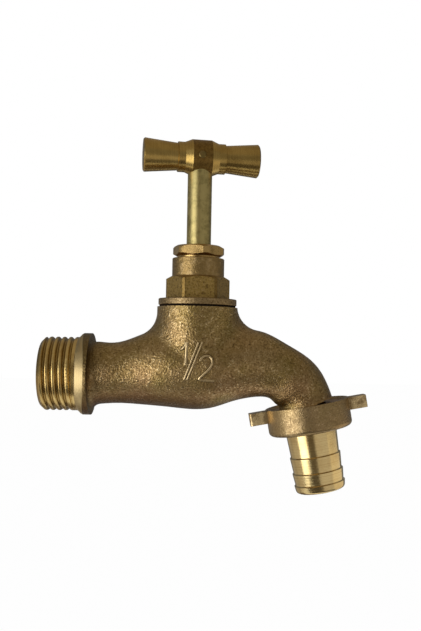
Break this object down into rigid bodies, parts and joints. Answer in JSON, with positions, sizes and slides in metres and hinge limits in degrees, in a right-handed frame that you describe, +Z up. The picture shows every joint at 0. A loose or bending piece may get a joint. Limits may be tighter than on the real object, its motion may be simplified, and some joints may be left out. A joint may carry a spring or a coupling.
{
  "type": "tap",
  "caption": "Brass screw-down tap with a threaded inlet, a tee handle on a rising spindle, a curved spout and a union nut with ears holding a barbed hose tail.",
  "frame": {"origin": "on the inlet's axis, at the shoulder where the inlet thread ends", "axes": "+X from the inlet towards the spout, +Z up along the spindle, +Y away from the side seen in the picture"},
  "size_m": [0.0933, 0.0242, 0.1013],
  "materials": {
    "cast_brass": "rough cast",
    "turned_brass": "turned",
    "fibre": "matte",
    "packing": "matte",
    "rubber": "matte"
  },
  "bodies": {
    "tap": {"tap_body": "cast_brass", "bonnet": "turned_brass", "bonnet_washer": "fibre", "packing_washer": "turned_brass", "packing_ring_bottom": "packing", "packing_ring_middle": "packing", "packing_ring_top": "packing", "gland_ring": "turned_brass", "gland_nut": "turned_brass"},
    "valve": {"valve_jumper": "turned_brass", "valve_washer": "rubber", "valve_nut": "turned_brass"},
    "spindle": {"spindle": "turned_brass", "t_handle": "turned_brass", "handle_pin": "turned_brass"},
    "hose_tail": {"hose_tail": "turned_brass", "hose_washer": "rubber"},
    "union_nut": {"union_nut": "cast_brass"}
  },
  "joints": [
    {"name": "valve_lift", "type": "slide", "parent": "tap", "child": "valve", "axis": [0, 0, 1], "range_m": [0, 0.004]},
    {"name": "handle_turn", "type": "hinge", "parent": "valve", "child": "spindle", "pos_m": [0.0333, 0, 0.04], "axis": [0, 0, 1], "range_deg": [0, 720]},
    {"name": "tail_travel", "type": "slide", "parent": "tap", "child": "hose_tail", "axis": [0.1822, 0, -0.9833], "range_m": [0, 0.00272]},
    {"name": "union_nut_turn", "type": "hinge", "parent": "hose_tail", "child": "union_nut", "pos_m": [0.06535, 0, -0.00745], "axis": [0.1822, 0, -0.9833], "range_deg": [0, 540]}
  ],
  "couplings": [
    {"joint": "handle_turn", "follows": "valve_lift", "rad_per_m": 3141.6},
    {"joint": "union_nut_turn", "follows": "tail_travel", "rad_per_m": 3463.7}
  ]
}
